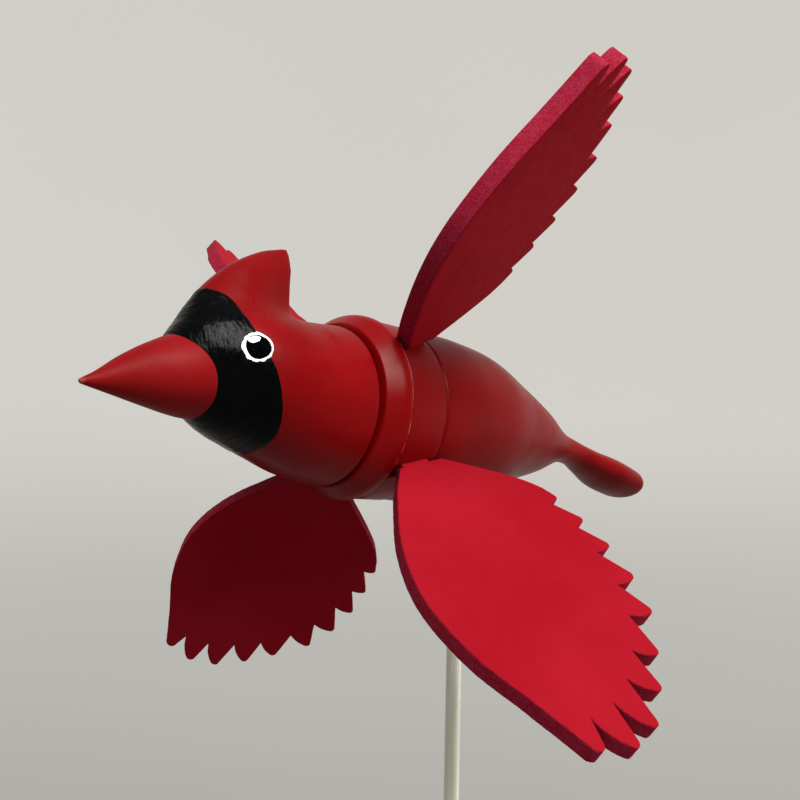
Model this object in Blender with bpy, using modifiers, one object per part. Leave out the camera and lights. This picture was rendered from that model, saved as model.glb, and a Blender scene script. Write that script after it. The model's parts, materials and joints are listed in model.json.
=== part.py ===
"""Bird whirligig: a carved bird on a thin rod, with four foam wings that spin as a rotor.

Frame: metres, +Z up, and the bird faces -X. The origin is the centre of the rod's foot. The rod
stands along +Z, the bird swings about the rod, and the rotor spins on an axis parallel to X.

Body shapes are written in millimetres from O, a point on the spin axis inside the rotor:
x runs aft, towards the tail, and z runs up.
"""
import math

import bmesh
import bpy
from mathutils import Matrix

MM = 0.001

# ---------------------------------------------------------------- driving dimensions, mm
GAP = 0.3                    # left between pieces that touch
AXIS_HEIGHT = 430.0          # spin axis above the rod's foot
ROD_RADIUS = 2.5
ROD_BEHIND_O = 48.2          # rod's axis, aft of O
AXLE_RADIUS = 2.5

# Rotor, along the spin axis.
COLLAR_RADIUS = 28.0         # the largest radius of the bird
COLLAR_FRONT = -11.4
COLLAR_REAR = -3.6
COLLAR_NOSE_RADIUS = 24.5    # its front rim, level with the neck
COLLAR_SHOULDER = -6.4       # where it has swelled to its full radius
BAND_FRONT = COLLAR_REAR + GAP
BAND_REAR = 11.2
BAND_RADIUS = 27.3
BOSS_FRONT = COLLAR_FRONT + GAP
BOSS_RADIUS = 12.0           # hub's front boss, which carries the collar
HUB_BORE = 5.0

# Wings: flat foam plates in pitched slots of the hub.
WING_THICKNESS = 5.0
SLOT_FLOOR = 18.0            # distance from the axis to the foot of a wing's tab
TAB_FRONT = -1.4
TAB_REAR = 8.0
SLOT_FRONT = -14.0           # a slot's cutter runs past the band in front and outwards
SLOT_TOP = 39.3
WING_ROOT = 28.2             # where a wing clears the band and the pieces beside it
# Each wing as it was cut and fitted by hand: its angle round the spin axis from straight up,
# pitch and rake in degrees, how far it is slid aft, and its length as a share of the outline's.
WINGS = [(48.6, -22.8, -1.8, 0.6, 1.0), (134.1, -18.0, 2.2, 0.0, 1.0),
         (227.3, -29.5, 0.0, 0.6, 1.0), (307.3, -20.0, 5.0, -2.5, 0.91)]
# Wing outline: (distance from the axis along the wing, distance aft across it).
LEADING_EDGE = [(WING_ROOT, -2.6), (38.6, -10.1), (53.5, -18.3), (69.4, -22.0),
                (87.1, -19.6), (103.0, -13.2), (118.0, -7.4)]
FEATHER_TIPS = [(120.3, -4.6), (123.8, 4.6), (121.7, 13.4), (114.5, 22.0), (106.2, 29.5),
                (95.5, 38.4), (84.2, 42.2), (72.9, 43.1), (62.1, 41.8), (52.6, 39.6)]
FEATHER_NOTCHES = [(111.4, -2.5), (110.8, 5.9), (107.5, 14.3), (102.1, 22.1), (93.6, 29.6),
                   (84.6, 34.1), (73.6, 36.3), (64.0, 37.3), (54.1, 35.8)]
TRAILING_ROOT = [(47.9, 37.3), (42.6, 32.4), (34.5, 21.8), (WING_ROOT, 12.6)]
FEATHER_ROUND = 1.6          # radius of a feather's end
FEATHER_FULLNESS = 0.10      # how far a feather's edge bulges, as a share of its length

# Rear body: (x, top z, bottom z, half width).
REAR_FRONT = BAND_REAR + 0.5
REAR_STATIONS = [
    (REAR_FRONT, 26.9, -26.9, 26.9),
    (22.0, 27.4, -27.4, 27.4),
    (33.6, 27.1, -27.1, 27.1),
    (50.4, 24.9, -24.9, 24.9),
    (70.0, 18.6, -19.3, 19.0),
    (89.6, 11.4, -14.6, 13.2),
    (106.4, 3.3, -9.5, 7.2),
    (117.6, 0.1, -9.9, 6.4),
    (128.8, -2.8, -13.6, 8.6),
    (142.8, -5.3, -18.8, 11.6),
    (157.0, -8.7, -21.8, 11.6),
]
TAIL_ROUND_FROM = 154.0      # x where the tail's round end begins
TAIL_END = (163.3, -16.5)    # x and z of the tail's rearmost point
REAR_EDGE = 1.2              # rounding of the rear body's front rim

# Head without its crest: (x, top z, bottom z, half width).
HEAD_REAR = COLLAR_FRONT - 0.8
HEAD_EDGE = 2.2              # rounding of the neck's rim
HEAD_NOSE = 6.0              # z of the head's foremost point, inside the beak
HEAD_NOSE_REACH = 0.8        # how far that point stands ahead of the first station
HEAD_RINGS_FRONT = (-62.0, -60.0)   # where the front's rings end and the crown's begin
HEAD_RINGS_NECK = [-26.0, -21.0]
HEAD_STATIONS = [
    (-67.0, 9.0, 3.0, 3.0),
    (-65.5, 12.0, -0.5, 6.0),
    (-62.0, 17.0, -5.0, 9.6),
    (-58.0, 21.4, -8.6, 12.4),
    (-52.0, 23.2, -12.2, 16.2),
    (-45.0, 23.6, -15.0, 19.2),
    (-36.0, 23.0, -18.4, 21.4),
    (-26.0, 22.4, -21.9, 22.6),
    (HEAD_REAR, 23.4, -24.6, 24.0),
]
# Crest: (x at its foot, height above the head's own top, half width of its foot).
CREST_STATIONS = [
    (-62.5, 0.0, 8.0),
    (-57.7, 4.2, 10.5),
    (-51.3, 10.1, 11.5),
    (-42.0, 16.5, 9.5),
    (-37.3, 18.7, 7.8),
    (-34.0, 19.9, 6.8),
    (-32.5, 19.6, 6.4),
]
CREST_LEAN = 0.2             # how far the crest sweeps aft for each mm of its height
# Back of the crest: (distance aft of its last station, share of its height left).
CREST_BACK = [(0.3, 0.85), (0.6, 0.55), (0.9, 0.25), (1.4, 0.07), (2.2, 0.0)]

# Beak: (x, top z, bottom z, half width).
BEAK_TIP = (-88.2, -2.9)
BEAK_STATIONS = [
    (-87.6, -2.2, -3.6, 0.7),
    (-84.0, 0.0, -4.4, 2.2),
    (-78.4, 4.3, -5.5, 4.9),
    (-70.0, 9.6, -7.2, 8.5),
    (-62.0, 13.2, -8.7, 11.3),
    (-54.0, 14.6, -9.3, 12.4),
]

# Hardware on the spin axis.
RUNNING_BORE = AXLE_RADIUS + GAP
FLANGE_RADIUS = 6.5
FLANGE_THICKNESS = 1.1
BUSH_LENGTH = 8.0
WASHER_RADIUS = 5.5
WASHER_THICKNESS = 1.0
NUT_ACROSS_FLATS = 8.0
NUT_THICKNESS = 4.0
INSERT_RADIUS = 3.9
INSERT_LENGTH = 14.0
RECESS_RADIUS = 9.0          # recess in head and rear body round the nut and washer
HOLE_PAST = 2.0              # how far a hole's cutter runs past the piece or the insert
AXLE_SHORT = 1.0             # how far each end of the axle stops inside its insert

# Pivot in the belly: z is measured from the spin axis.
ROD_TOP = 3.0
BALL_RADIUS = 2.2
SLEEVE_RADIUS = 4.0
SLEEVE_BOTTOM = -23.5
SLEEVE_CAP = 1.5             # thickness of the sleeve's closed top
PIVOT_HOLE_LOW = -40.0       # below the belly, where the pivot's holes are cut from

ROUND = 36                   # segments round the body
CROWN_HALF = 5               # points on each half of the crest
ROUND_SMALL = 20             # segments round a small turned piece

FINISHES = {                 # colour, roughness, metallic
    "red_paint": ((0.26, 0.010, 0.012), 0.32, 0.0),
    "foam": ((0.45, 0.015, 0.040), 0.75, 0.0),
    "fibreglass": ((0.33, 0.35, 0.27), 0.45, 0.0),
    "steel": ((0.62, 0.62, 0.64), 0.30, 1.0),
    "brass": ((0.78, 0.57, 0.25), 0.30, 1.0),
    "nylon": ((0.85, 0.84, 0.80), 0.50, 0.0),
}


# ---------------------------------------------------------------- scene helpers
def clear_scene():
    for obj in list(bpy.data.objects):
        bpy.data.objects.remove(obj, do_unlink=True)


def make_collection(name):
    made = bpy.data.collections.new(name)
    bpy.context.scene.collection.children.link(made)
    return made


def make_material(name, finish):
    colour, roughness, metallic = FINISHES[finish]
    made = bpy.data.materials.new(name)
    made.use_nodes = True
    shader = made.node_tree.nodes["Principled BSDF"]
    shader.inputs["Base Color"].default_value = (*colour, 1.0)
    shader.inputs["Roughness"].default_value = roughness
    shader.inputs["Metallic"].default_value = metallic
    return made


def make_axis(name, location, parent=None):
    """An empty on a joint's axis, which the pieces of that body are parented to."""
    empty = bpy.data.objects.new(name, None)
    parts.objects.link(empty)
    empty.location = location
    empty.parent = parent
    return empty


def add_piece(name, data, finish, parent=None, matrix=None):
    """A named sub-part from a mesh or curve, placed by its matrix under its parent."""
    obj = bpy.data.objects.new(name, data)
    parts.objects.link(obj)
    data.materials.append(make_material(name, finish))
    obj.parent = parent
    obj.matrix_local = matrix or Matrix.Identity(4)
    return obj


def add_cutter(name, data, parent=None, matrix=None):
    obj = bpy.data.objects.new(name, data)
    cutters.objects.link(obj)
    obj.parent = parent
    obj.matrix_local = matrix or Matrix.Identity(4)
    obj.hide_render = True
    obj.display_type = "WIRE"
    return obj


def cut(piece, cutter):
    modifier = piece.modifiers.new("cut_" + cutter.name, "BOOLEAN")
    modifier.operation = "DIFFERENCE"
    modifier.object = cutter


# ---------------------------------------------------------------- outlines
def hermite(stations, x):
    """Smooth values between stations, whose first column is x."""
    last = len(stations) - 1
    i = 0
    while i < last - 1 and x > stations[i + 1][0]:
        i += 1

    def slope(k, column):
        low = stations[max(k - 1, 0)]
        high = stations[min(k + 1, last)]
        return (high[column] - low[column]) / (high[0] - low[0])

    start, end = stations[i], stations[i + 1]
    span = end[0] - start[0]
    t = (x - start[0]) / span
    values = []
    for column in range(1, len(start)):
        rise = start[column] * (2 * t**3 - 3 * t**2 + 1) + end[column] * (3 * t**2 - 2 * t**3)
        lean = slope(i, column) * (t**3 - 2 * t**2 + t) + slope(i + 1, column) * (t**3 - t**2)
        values.append(rise + span * lean)
    return values


def smooth_path(points, steps):
    """A smooth open line through points of a plane, with steps pieces between neighbours."""
    numbered = [(i, *point) for i, point in enumerate(points)]
    count = (len(points) - 1) * steps
    return [tuple(hermite(numbered, i / steps)) for i in range(count + 1)]


def round_corner(before, corner, after, radius, steps):
    """The arc that replaces a corner."""
    to_before = (before[0] - corner[0], before[1] - corner[1])
    to_after = (after[0] - corner[0], after[1] - corner[1])
    long_before, long_after = math.hypot(*to_before), math.hypot(*to_after)
    u = (to_before[0] / long_before, to_before[1] / long_before)
    v = (to_after[0] / long_after, to_after[1] / long_after)
    half = math.acos(max(-1.0, min(1.0, u[0] * v[0] + u[1] * v[1]))) / 2
    reach = min(radius / math.tan(half), 0.9 * long_before, 0.9 * long_after)
    radius = reach * math.tan(half)
    middle = (u[0] + v[0], u[1] + v[1])
    scale = radius / math.sin(half) / math.hypot(*middle)
    centre = (corner[0] + middle[0] * scale, corner[1] + middle[1] * scale)
    first = (corner[0] + u[0] * reach - centre[0], corner[1] + u[1] * reach - centre[1])
    last = (corner[0] + v[0] * reach - centre[0], corner[1] + v[1] * reach - centre[1])
    turn = math.atan2(first[0] * last[1] - first[1] * last[0],
                      first[0] * last[0] + first[1] * last[1])
    arc = []
    for i in range(steps + 1):
        c, s = math.cos(turn * i / steps), math.sin(turn * i / steps)
        arc.append((centre[0] + c * first[0] - s * first[1],
                    centre[1] + s * first[0] + c * first[1]))
    return arc


def rounded(corners, closed, steps=4):
    """Corners (u, v, radius) as a list of points, with each radius rounded off."""
    points = []
    count = len(corners)
    for i, (u, v, radius) in enumerate(corners):
        inner = closed or 0 < i < count - 1
        if radius and inner:
            before, after = corners[i - 1], corners[(i + 1) % count]
            points += round_corner(before[:2], (u, v), after[:2], radius, steps)
        else:
            points.append((u, v))
    return points


# ---------------------------------------------------------------- meshes
ALONG_X = Matrix.Rotation(math.pi / 2, 4, "Y")      # takes a turned piece's Z axis to +X


def profile_mesh(name, outline, closed):
    """A turned piece's profile at +X, from (along, radius) points given in rising order."""
    mesh = bpy.data.meshes.new(name)
    verts = [(radius * MM, 0, along * MM) for along, radius in reversed(outline)]
    edges = [(i, i + 1) for i in range(len(verts) - 1)]
    if closed:
        edges.append((len(verts) - 1, 0))
    mesh.from_pydata(verts, edges, [])
    return mesh


def turn(obj, segments):
    screw = obj.modifiers.new("turn", "SCREW")
    screw.steps = segments
    screw.render_steps = segments
    screw.use_merge_vertices = True
    screw.merge_threshold = 0.00001
    return obj


def turned(name, corners, finish, parent, matrix, segments):
    """A turned piece: corners (along, radius, rounding), open if they start on the axis."""
    closed = corners[0][1] > 0
    mesh = profile_mesh(name, rounded(corners, closed), closed)
    obj = turn(add_piece(name, mesh, finish, parent, matrix), segments)
    smooth = obj.modifiers[-1]
    smooth.use_smooth_shade = True
    return obj


def turned_cutter(name, corners, parent, matrix, segments=ROUND_SMALL):
    mesh = profile_mesh(name, [corner[:2] for corner in corners], False)
    return turn(add_cutter(name, mesh, parent, matrix), segments)


def ring(start, end, bore, radius, rounding=0.0):
    """The corners of a ring from start to end along its axis."""
    return [(start, radius, rounding), (end, radius, rounding), (end, bore, 0), (start, bore, 0)]


def bar(start, end, radius, rounding=0.0):
    """The corners of a solid round bar from start to end along its axis."""
    return [(start, 0, 0), (start, radius, rounding), (end, radius, rounding), (end, 0, 0)]


def loft_mesh(name, rings, front_point=None, rear_point=None):
    """A skin over rings of (x, y, z) points in mm, ending in flat faces or in points."""
    form = bmesh.new()
    loops = [[form.verts.new([c * MM for c in point]) for point in ring_] for ring_ in rings]
    count = len(loops[0])
    for near, far in zip(loops, loops[1:]):
        for i in range(count):
            j = (i + 1) % count
            form.faces.new((near[i], near[j], far[j], far[i]))
    for loop, point in ((loops[0], front_point), (loops[-1], rear_point)):
        if point is None:
            form.faces.new(loop)
            continue
        pole = form.verts.new([c * MM for c in point])
        for i in range(count):
            form.faces.new((loop[i], loop[(i + 1) % count], pole))
    bmesh.ops.recalc_face_normals(form, faces=form.faces)
    mesh = bpy.data.meshes.new(name)
    form.to_mesh(mesh)
    form.free()
    mesh.shade_smooth()
    mesh.set_sharp_from_angle(angle=math.radians(40))
    return mesh


def section(x, top, bottom, half_width, inset=0.0):
    """An oval ring across the bird."""
    middle = (top + bottom) / 2
    high = (top - bottom) / 2 - inset
    wide = half_width - inset
    angles = [2 * math.pi * i / ROUND for i in range(ROUND)]
    return [(x, wide * math.cos(a), middle + high * math.sin(a)) for a in angles]


def crested_section(x, top, bottom, half_width, height, foot, inset=0.0):
    """An oval ring whose crown rises into a fin, with its own points across the fin's foot."""
    middle = (top + bottom) / 2
    high = (top - bottom) / 2 - inset
    wide = half_width - inset
    foot = min(foot, 0.6 * wide)
    points = []
    for i in range(-CROWN_HALF, CROWN_HALF):
        across = -i / CROWN_HALF
        z = middle + high * math.sqrt(1 - (foot * across / wide) ** 2)
        lift = height * (1 - across**2) ** 1.5
        points.append((x + CREST_LEAN * lift, foot * across, z + lift))
    foot_angle = math.acos(foot / wide)
    around = ROUND - 2 * CROWN_HALF
    for i in range(around):
        a = math.pi - foot_angle + (math.pi + 2 * foot_angle) * i / around
        points.append((x, wide * math.cos(a), middle + high * math.sin(a)))
    return points


def steps_between(start, end, count):
    return [start + (end - start) * i / count for i in range(count + 1)]


# ---------------------------------------------------------------- the bird's body
def rear_body_rings():
    rings = []
    for angle in (0, 45):
        t = math.radians(angle)
        x = REAR_FRONT + REAR_EDGE * (1 - math.cos(t))
        rings.append(section(x, *hermite(REAR_STATIONS, x), inset=REAR_EDGE * (1 - math.sin(t))))
    for x in steps_between(REAR_FRONT + REAR_EDGE, TAIL_ROUND_FROM, 19):
        rings.append(section(x, *hermite(REAR_STATIONS, x)))
    top, bottom, half_width = hermite(REAR_STATIONS, TAIL_ROUND_FROM)
    middle = (top + bottom) / 2
    for angle in (30, 55, 75):
        t = math.radians(angle)
        x = TAIL_ROUND_FROM + (TAIL_END[0] - TAIL_ROUND_FROM) * math.sin(t)
        z = middle + (TAIL_END[1] - middle) * math.sin(t)
        reach = math.cos(t) * (top - bottom) / 2
        rings.append(section(x, z + reach, z - reach, half_width * math.cos(t)))
    return rings


def make_rear_body():
    mesh = loft_mesh("rear_body", rear_body_rings(), rear_point=(TAIL_END[0], 0, TAIL_END[1]))
    body = add_piece("rear_body", mesh, "red_paint", bird, AT_O)
    insert_front = rear_stack()["insert"] - GAP
    hardware_end = insert_front + INSERT_LENGTH + HOLE_PAST
    mouth = REAR_FRONT - HOLE_PAST
    axle_hole = [(mouth, 0), (mouth, RECESS_RADIUS),
                 (insert_front, RECESS_RADIUS), (insert_front, INSERT_RADIUS + GAP),
                 (hardware_end, INSERT_RADIUS + GAP), (hardware_end, 0)]
    cut(body, turned_cutter("cut_rear_axle_hole", axle_hole, bird, AT_O @ ALONG_X))
    top = sleeve_top() + GAP
    bore = SLEEVE_RADIUS + GAP
    pivot_hole = [(PIVOT_HOLE_LOW, 0), (PIVOT_HOLE_LOW, bore), (top, bore), (top, 0)]
    cut(body, turned_cutter("cut_pivot_hole", pivot_hole, bird, ON_ROD))


def crest_at(x):
    """The crest's height and the half width of its foot above x."""
    first, last = CREST_STATIONS[0], CREST_STATIONS[-1]
    if x <= first[0]:
        return 0.0, first[2]
    if x <= last[0]:
        return hermite(CREST_STATIONS, x)
    for aft, share in CREST_BACK:
        if x <= last[0] + aft + 0.001:
            return last[1] * share, last[2]
    return 0.0, last[2]


def head_rings(grow=0.0, crest=True):
    """Rings from the head's front to its rear; grow swells the head for the beak's seat."""
    back = CREST_STATIONS[-1][0]
    front_end, crown_start = HEAD_RINGS_FRONT
    places = steps_between(HEAD_STATIONS[0][0], front_end, 3)
    places += steps_between(crown_start, back, 10)
    places += [back + aft for aft, share in CREST_BACK]
    places += HEAD_RINGS_NECK
    rings = []
    for x in places:
        height, foot = crest_at(x)
        if not crest:
            height = 0.0
        rings.append(crested_section(x, *hermite(HEAD_STATIONS, x), height, foot, -grow))
    for angle in (90, 60, 30, 0):
        t = math.radians(angle)
        x = HEAD_REAR - HEAD_EDGE * (1 - math.cos(t))
        inset = HEAD_EDGE * (1 - math.sin(t)) - grow
        rings.append(crested_section(x, *hermite(HEAD_STATIONS, x), 0.0, foot, inset))
    return rings


def make_head():
    pole = (HEAD_STATIONS[0][0] - HEAD_NOSE_REACH, 0, HEAD_NOSE)
    head = add_piece("head", loft_mesh("head", head_rings(), front_point=pole),
                     "red_paint", bird, AT_O)
    insert_rear = front_stack()["insert"] + GAP
    hardware_end = insert_rear - INSERT_LENGTH - HOLE_PAST
    mouth = HEAD_REAR + HOLE_PAST
    axle_hole = [(hardware_end, 0), (hardware_end, INSERT_RADIUS + GAP),
                 (insert_rear, INSERT_RADIUS + GAP), (insert_rear, RECESS_RADIUS),
                 (mouth, RECESS_RADIUS), (mouth, 0)]
    cut(head, turned_cutter("cut_head_axle_hole", axle_hole, bird, AT_O @ ALONG_X))


def make_beak():
    """A cone whose back is hollowed to the head's front."""
    rings = []
    for x in steps_between(BEAK_STATIONS[0][0], BEAK_STATIONS[-1][0], 9):
        rings.append(section(x, *hermite(BEAK_STATIONS, x)))
    mesh = loft_mesh("beak", rings, front_point=(BEAK_TIP[0], 0, BEAK_TIP[1]))
    beak = add_piece("beak", mesh, "red_paint", bird, AT_O)
    pole = (HEAD_STATIONS[0][0] - HEAD_NOSE_REACH - GAP, 0, HEAD_NOSE)
    seat = loft_mesh("cut_beak_seat", head_rings(grow=GAP, crest=False), front_point=pole)
    cut(beak, add_cutter("cut_beak_seat", seat, bird, AT_O))


# ---------------------------------------------------------------- the rotor
def make_collar():
    bore = BOSS_RADIUS + GAP
    corners = [(COLLAR_FRONT, bore, 0), (COLLAR_FRONT, COLLAR_NOSE_RADIUS, 0.8),
               (COLLAR_SHOULDER, COLLAR_RADIUS, 5.0), (COLLAR_REAR, COLLAR_RADIUS, 1.0),
               (COLLAR_REAR, bore, 0)]
    turned("rotor_collar", corners, "red_paint", rotor, ALONG_X, ROUND)


def wing_matrix(angle, pitch, rake, aft):
    """Takes a wing's length, width and thickness (local X, Y, Z) to its place on the rotor."""
    upright = Matrix(((0, 1, 0, 0), (0, 0, 1, 0), (1, 0, 0, 0), (0, 0, 0, 1)))
    return (Matrix.Rotation(math.radians(angle), 4, "X")
            @ Matrix.Rotation(math.radians(rake), 4, "Y")
            @ Matrix.Rotation(math.radians(-pitch), 4, "Z") @ upright
            @ Matrix.Translation((0, aft * MM, 0)))


def make_hub():
    corners = [(BOSS_FRONT, BOSS_RADIUS, 0.5), (BAND_FRONT, BOSS_RADIUS, 0),
               (BAND_FRONT, BAND_RADIUS, 0.4), (BAND_REAR, BAND_RADIUS, 0.8),
               (BAND_REAR, HUB_BORE, 0), (BOSS_FRONT, HUB_BORE, 0)]
    hub = turned("rotor_hub", corners, "red_paint", rotor, ALONG_X, ROUND)
    low = (SLOT_FLOOR - GAP, SLOT_FRONT, -WING_THICKNESS / 2 - GAP)
    high = (SLOT_TOP, TAB_REAR + GAP, WING_THICKNESS / 2 + GAP)
    for number, wing in enumerate(WINGS, 1):
        form = bmesh.new()
        bmesh.ops.create_cube(form, size=1.0)
        for vert in form.verts:
            vert.co = [((a + b) / 2 + (b - a) * c) * MM for a, b, c in zip(low, high, vert.co)]
        mesh = bpy.data.meshes.new(f"cut_slot_{number}")
        form.to_mesh(mesh)
        form.free()
        cut(hub, add_cutter(f"cut_slot_{number}", mesh, rotor, wing_matrix(*wing[:4])))


def feather(start, tip, end):
    """One feather's outline from the notch start, round its tip, to just before the notch end."""
    mid = ((start[0] + tip[0]) / 2, (start[1] + tip[1]) / 2)
    side = (tip[1] - start[1], start[0] - tip[0])
    bulge = (mid[0] + side[0] * FEATHER_FULLNESS, mid[1] + side[1] * FEATHER_FULLNESS)
    return [start, bulge] + round_corner(bulge, tip, end, FEATHER_ROUND, 3)


def wing_outline(length):
    """The outline of a wing, whose length beyond its root is a share of the full one."""
    points = [(SLOT_FLOOR, TAB_REAR), (SLOT_FLOOR, TAB_FRONT), (WING_ROOT, TAB_FRONT)]
    points += smooth_path(LEADING_EDGE, 3)
    notches = FEATHER_NOTCHES
    points += round_corner(LEADING_EDGE[-1], FEATHER_TIPS[0], notches[0], FEATHER_ROUND, 3)
    for start, tip, end in zip(notches, FEATHER_TIPS[1:-1], notches[1:]):
        points += feather(start, tip, end)
    points += feather(notches[-1], FEATHER_TIPS[-1], TRAILING_ROOT[0])
    points += smooth_path(TRAILING_ROOT, 2)
    points.append((WING_ROOT, TAB_REAR))
    return [(min(u, WING_ROOT) + max(u - WING_ROOT, 0) * length, v) for u, v in points]


def make_wing(number, wing):
    name = f"wing_{number}"
    curve = bpy.data.curves.new(name, "CURVE")
    curve.dimensions = "2D"
    curve.fill_mode = "BOTH"
    curve.extrude = WING_THICKNESS / 2 * MM
    outline = wing_outline(wing[4])
    spline = curve.splines.new("POLY")
    spline.points.add(len(outline) - 1)
    for point, (along, across) in zip(spline.points, outline):
        point.co = (along * MM, across * MM, 0, 1)
    spline.use_cyclic_u = True
    add_piece(name, curve, "foam", rotor, wing_matrix(*wing[:4]))


# ---------------------------------------------------------------- hardware inside
def front_stack():
    """Where each piece in front of the hub starts, from the hub forwards."""
    bush = BOSS_FRONT - GAP
    washer = bush - FLANGE_THICKNESS - GAP
    nut = washer - WASHER_THICKNESS - GAP
    return {"bush": bush, "washer": washer, "nut": nut, "insert": nut - NUT_THICKNESS - 2 * GAP}


def rear_stack():
    """Where each piece behind the hub starts, from the hub aft."""
    bush = BAND_REAR + GAP
    washer = bush + FLANGE_THICKNESS + GAP
    nut = washer + WASHER_THICKNESS + GAP
    return {"bush": bush, "washer": washer, "nut": nut, "insert": nut + NUT_THICKNESS + 2 * GAP}


def make_bush(name, face, outward):
    """A flanged bush in the hub's bore; face is its flange's inner side."""
    sleeve = HUB_BORE - GAP
    corners = [(face + outward * FLANGE_THICKNESS, FLANGE_RADIUS, 0), (face, FLANGE_RADIUS, 0),
               (face, sleeve, 0), (face - outward * BUSH_LENGTH, sleeve, 0),
               (face - outward * BUSH_LENGTH, RUNNING_BORE, 0),
               (face + outward * FLANGE_THICKNESS, RUNNING_BORE, 0)]
    if outward > 0:
        corners.reverse()
    turned(name, corners, "brass", rotor, ALONG_X, ROUND_SMALL)


def make_nut(name, start, end):
    """A hexagon nut from start to end on the axle."""
    form = bmesh.new()
    across_corners = NUT_ACROSS_FLATS / math.cos(math.pi / 6)
    bmesh.ops.create_cone(form, cap_ends=True, segments=6, radius1=across_corners / 2 * MM,
                          radius2=across_corners / 2 * MM, depth=abs(end - start) * MM)
    mesh = bpy.data.meshes.new(name)
    form.to_mesh(mesh)
    form.free()
    matrix = AT_O @ Matrix.Translation(((start + end) / 2 * MM, 0, 0)) @ ALONG_X
    nut = add_piece(name, mesh, "steel", bird, matrix)
    low, high = start - HOLE_PAST, end + HOLE_PAST
    bore = [(low, 0), (low, RUNNING_BORE), (high, RUNNING_BORE), (high, 0)]
    cut(nut, turned_cutter("cut_" + name, bore, bird, AT_O @ ALONG_X))


def make_axle_hardware():
    front, rear = front_stack(), rear_stack()
    on_axis = AT_O @ ALONG_X
    axle_front = front["insert"] - INSERT_LENGTH + AXLE_SHORT
    axle_rear = rear["insert"] + INSERT_LENGTH - AXLE_SHORT
    turned("axle", bar(axle_front, axle_rear, AXLE_RADIUS, 0.5), "steel", bird, on_axis,
           ROUND_SMALL)
    make_bush("front_bush", front["bush"], -1)
    make_bush("rear_bush", rear["bush"], 1)
    washer = ring(front["washer"] - WASHER_THICKNESS, front["washer"], RUNNING_BORE, WASHER_RADIUS)
    turned("front_washer", washer, "nylon", bird, on_axis, ROUND_SMALL)
    washer = ring(rear["washer"], rear["washer"] + WASHER_THICKNESS, RUNNING_BORE, WASHER_RADIUS)
    turned("rear_washer", washer, "nylon", bird, on_axis, ROUND_SMALL)
    make_nut("front_lock_nut", front["nut"] - NUT_THICKNESS, front["nut"])
    make_nut("rear_jam_nut", rear["nut"], rear["nut"] + NUT_THICKNESS)
    insert = ring(front["insert"] - INSERT_LENGTH, front["insert"], RUNNING_BORE, INSERT_RADIUS)
    turned("head_insert", insert, "brass", bird, on_axis, ROUND_SMALL)
    insert = ring(rear["insert"], rear["insert"] + INSERT_LENGTH, RUNNING_BORE, INSERT_RADIUS)
    turned("rear_insert", insert, "brass", bird, on_axis, ROUND_SMALL)


# ---------------------------------------------------------------- rod and pivot
def ball_seat():
    """The height of the sleeve's inner top, above the ball."""
    return ROD_TOP + 2 * BALL_RADIUS + 2 * GAP


def sleeve_top():
    return ball_seat() + SLEEVE_CAP


def make_rod():
    turned("rod", bar(0, AXIS_HEIGHT + ROD_TOP, ROD_RADIUS, 0.3), "fibreglass", None, None,
           ROUND_SMALL)


def make_pivot():
    bore = ROD_RADIUS + GAP
    sleeve = [(SLEEVE_BOTTOM, SLEEVE_RADIUS, 0), (sleeve_top(), SLEEVE_RADIUS, 0.6),
              (sleeve_top(), 0, 0)]
    inside = [(PIVOT_HOLE_LOW, 0), (PIVOT_HOLE_LOW, bore), (ball_seat(), bore),
              (ball_seat(), 0)]
    piece = turned("pivot_sleeve", [(SLEEVE_BOTTOM, 0, 0)] + sleeve, "brass", bird, ON_ROD,
                   ROUND_SMALL)
    cut(piece, turned_cutter("cut_sleeve_bore", inside, bird, ON_ROD))
    form = bmesh.new()
    bmesh.ops.create_uvsphere(form, u_segments=16, v_segments=10, radius=BALL_RADIUS * MM)
    mesh = bpy.data.meshes.new("pivot_ball")
    form.to_mesh(mesh)
    form.free()
    mesh.shade_smooth()
    height = AXIS_HEIGHT + ROD_TOP + GAP + BALL_RADIUS
    add_piece("pivot_ball", mesh, "steel", None, Matrix.Translation((0, 0, height * MM)))


# ---------------------------------------------------------------- assembly
clear_scene()
parts = make_collection("whirligig")
cutters = make_collection("cutters")

AT_O = Matrix.Translation((-ROD_BEHIND_O * MM, 0, AXIS_HEIGHT * MM))
ON_ROD = Matrix.Translation((0, 0, AXIS_HEIGHT * MM))

bird = make_axis("bird_swing_axis", (0, 0, 0))
rotor = make_axis("rotor_spin_axis", AT_O.translation, bird)

make_rod()
make_pivot()
make_rear_body()
make_head()
make_beak()
make_collar()
make_hub()
for wing_number, wing_place in enumerate(WINGS, 1):
    make_wing(wing_number, wing_place)
make_axle_hardware()
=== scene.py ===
# Looks of the bird whirligig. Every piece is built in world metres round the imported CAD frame.
# Body shapes are written in millimetres from O, the rotor's centre on the spin axis.
import json
import math

import bmesh
import bpy
from mathutils import Matrix, Vector, noise
from mathutils.bvhtree import BVHTree
from mathutils.geometry import delaunay_2d_cdt


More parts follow.
